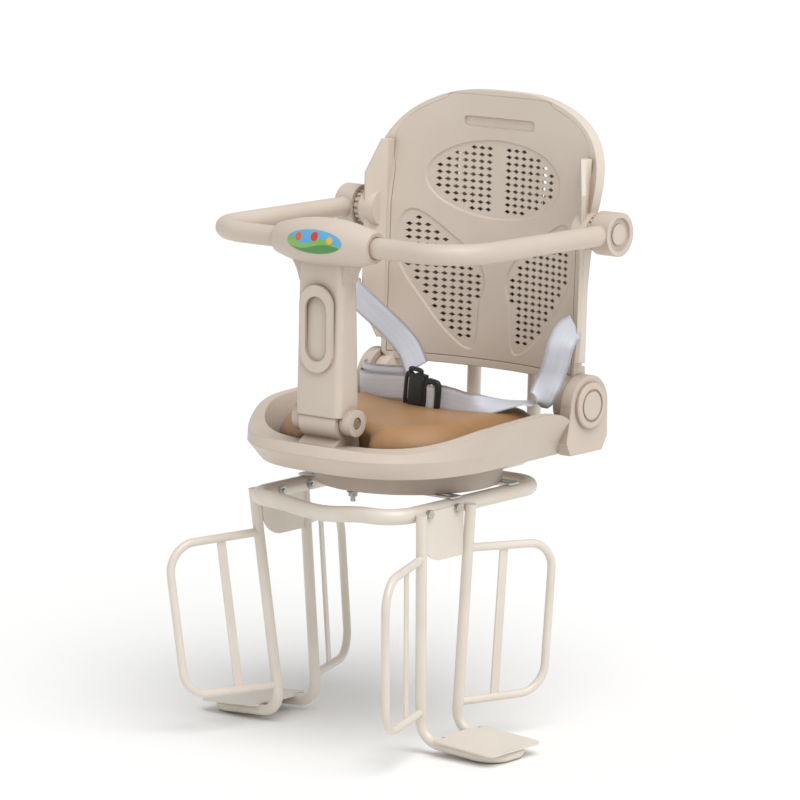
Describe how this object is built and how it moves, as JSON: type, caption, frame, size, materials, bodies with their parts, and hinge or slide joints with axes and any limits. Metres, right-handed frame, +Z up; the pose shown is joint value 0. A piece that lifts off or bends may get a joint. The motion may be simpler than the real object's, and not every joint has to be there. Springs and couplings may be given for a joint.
{
  "type": "child bike seat",
  "caption": "Rear child bike seat with folding perforated backrest, padded pan, guard bar on a front post, harness, and leg frames with foot plates and wheel guards.",
  "frame": {"origin": "under the rack frame's rails, midway between them, on the level that lies on the bicycle rack", "axes": "+Z up, -Y towards the front of the bicycle, +X to its left when seen from the front"},
  "size_m": [0.4446, 0.4493, 0.7423],
  "materials": {
    "moulded_plastic": "satin moulded plastic",
    "painted_steel": "gloss powder coat",
    "cushion_cover": "smooth leatherette",
    "webbing": "satin woven webbing",
    "buckle_plastic": "moulded black plastic",
    "badge_film": "printed gloss film",
    "zinc_steel": "bright zinc plate"
  },
  "bodies": {
    "seat": {"back_hoop": "painted_steel", "base_disc": "moulded_plastic", "buckle_socket": "buckle_plastic", "buckle_tongue": "buckle_plastic", "clamp_nuts": "zinc_steel", "clamp_studs": "zinc_steel", "cross_strap_front": "zinc_steel", "cross_strap_rear": "zinc_steel", "foot_plate_left": "painted_steel", "foot_plate_right": "painted_steel", "front_guard_bar_left": "painted_steel", "front_guard_bar_right": "painted_steel", "front_guard_left": "painted_steel", "front_guard_right": "painted_steel", "hinge_cap_left": "moulded_plastic", "hinge_cap_right": "moulded_plastic", "hinge_pins": "zinc_steel", "left_lap_strap": "webbing", "left_shoulder_strap": "webbing", "leg_bolts": "zinc_steel", "leg_nuts": "zinc_steel", "leg_tube_left": "painted_steel", "leg_tube_right": "painted_steel", "mount_frame": "painted_steel", "post_pin": "zinc_steel", "rear_guard_bar_left": "painted_steel", "rear_guard_bar_right": "painted_steel", "rear_guard_left": "painted_steel", "rear_guard_right": "painted_steel", "right_strap": "webbing", "seat_cushion": "cushion_cover", "seat_pan": "moulded_plastic", "tongue_plate_left": "painted_steel", "tongue_plate_right": "painted_steel"},
    "backrest": {"backrest_shell": "moulded_plastic", "backrest_panel": "moulded_plastic", "pivot_ring_left": "moulded_plastic", "pivot_ring_right": "moulded_plastic", "pivot_bolts": "zinc_steel"},
    "armrest": {"armrest_bar": "painted_steel", "drum_cap_left": "moulded_plastic", "drum_cap_right": "moulded_plastic"},
    "post": {"t_post": "moulded_plastic", "head_badge": "badge_film"}
  },
  "joints": [
    {"name": "backrest_fold", "type": "hinge", "parent": "seat", "child": "backrest", "pos_m": [0, 0.1562, 0.1085], "axis": [1, 0, 0], "range_deg": [0, 65], "deforming": ["left_shoulder_strap", "left_lap_strap", "right_strap", "buckle_socket", "buckle_tongue"]},
    {"name": "armrest_pivot", "type": "hinge", "parent": "backrest", "child": "armrest", "pos_m": [0, 0.1537, 0.3165], "axis": [1, 0, 0], "range_deg": [-65, 0]},
    {"name": "post_pivot", "type": "hinge", "parent": "seat", "child": "post", "pos_m": [0, -0.1317, 0.1115], "axis": [1, 0, 0], "range_deg": [0, 65]}
  ],
  "couplings": [
    {"joint": "armrest_pivot", "follows": "backrest_fold", "ratio": -1},
    {"joint": "post_pivot", "follows": "backrest_fold", "ratio": 1}
  ]
}
